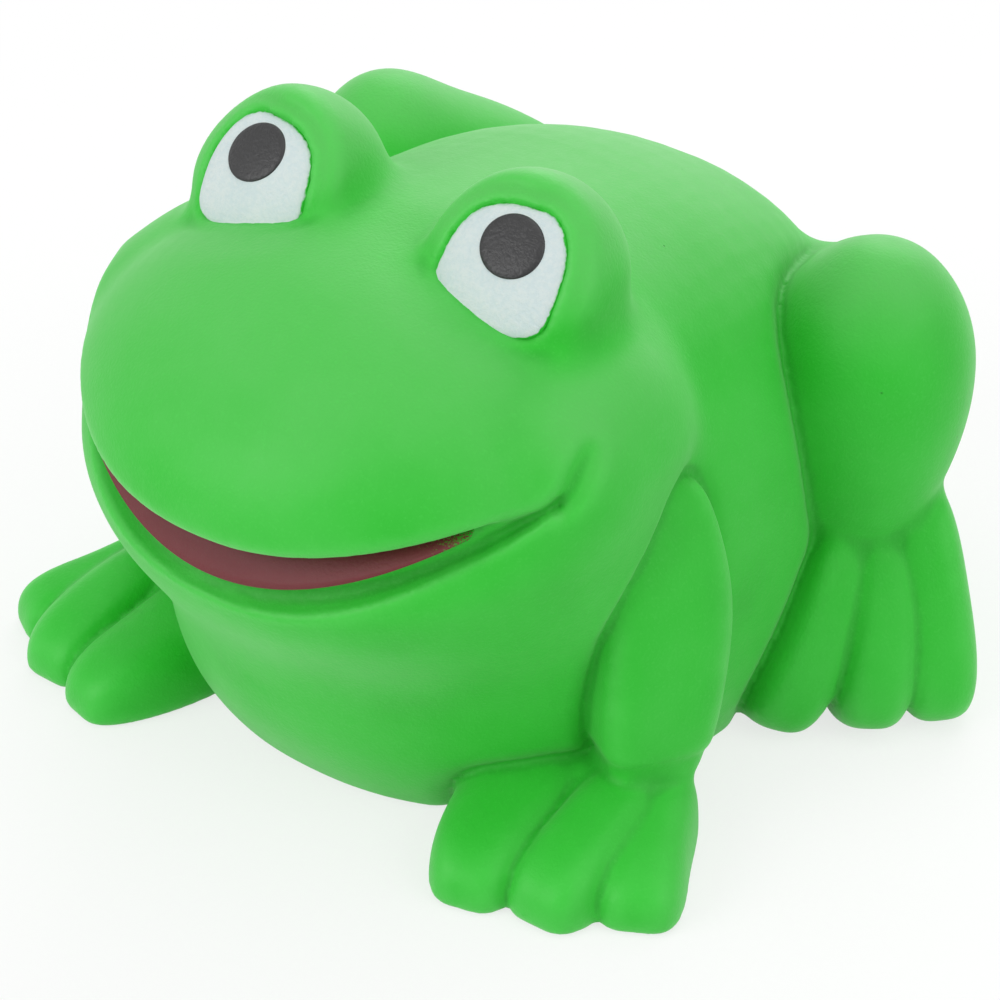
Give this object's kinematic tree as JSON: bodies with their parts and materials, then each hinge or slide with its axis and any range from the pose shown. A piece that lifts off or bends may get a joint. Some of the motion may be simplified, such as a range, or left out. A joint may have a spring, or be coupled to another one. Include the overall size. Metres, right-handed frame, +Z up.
{
  "type": "frog stress toy",
  "caption": "Squatting foam frog to squeeze in the hand: broad head, raised eyes, open smile, round body, folded hind legs and spread toes; the head presses down and springs back.",
  "frame": {"origin": "on the floor under the middle of the figure's bounding box", "axes": "+Z up; the frog faces -Y; +X is the frog's left"},
  "size_m": [0.0838, 0.0802, 0.0554],
  "materials": {
    "green_paint": "matt bright green paint on the skin of polyurethane foam",
    "white_paint": "matt bluish white paint on foam",
    "black_paint": "satin black paint on foam",
    "maroon_paint": "matt dark red paint on foam"
  },
  "bodies": {
    "body": {"torso": "green_paint", "front_leg_left": "green_paint", "front_leg_right": "green_paint", "thigh_left": "green_paint", "thigh_right": "green_paint", "rear_foot_left": "green_paint", "rear_foot_right": "green_paint"},
    "head": {"head": "green_paint", "eye_white_left": "white_paint", "eye_white_right": "white_paint", "pupil_left": "black_paint", "pupil_right": "black_paint", "mouth_lining": "maroon_paint"}
  },
  "joints": [
    {"name": "squeeze", "type": "slide", "parent": "body", "child": "head", "axis": [0, 0, -1], "range_m": [0, 0.008], "stiffness_N_per_m": 3000, "deforming": ["torso", "front_leg_left", "front_leg_right"]}
  ]
}
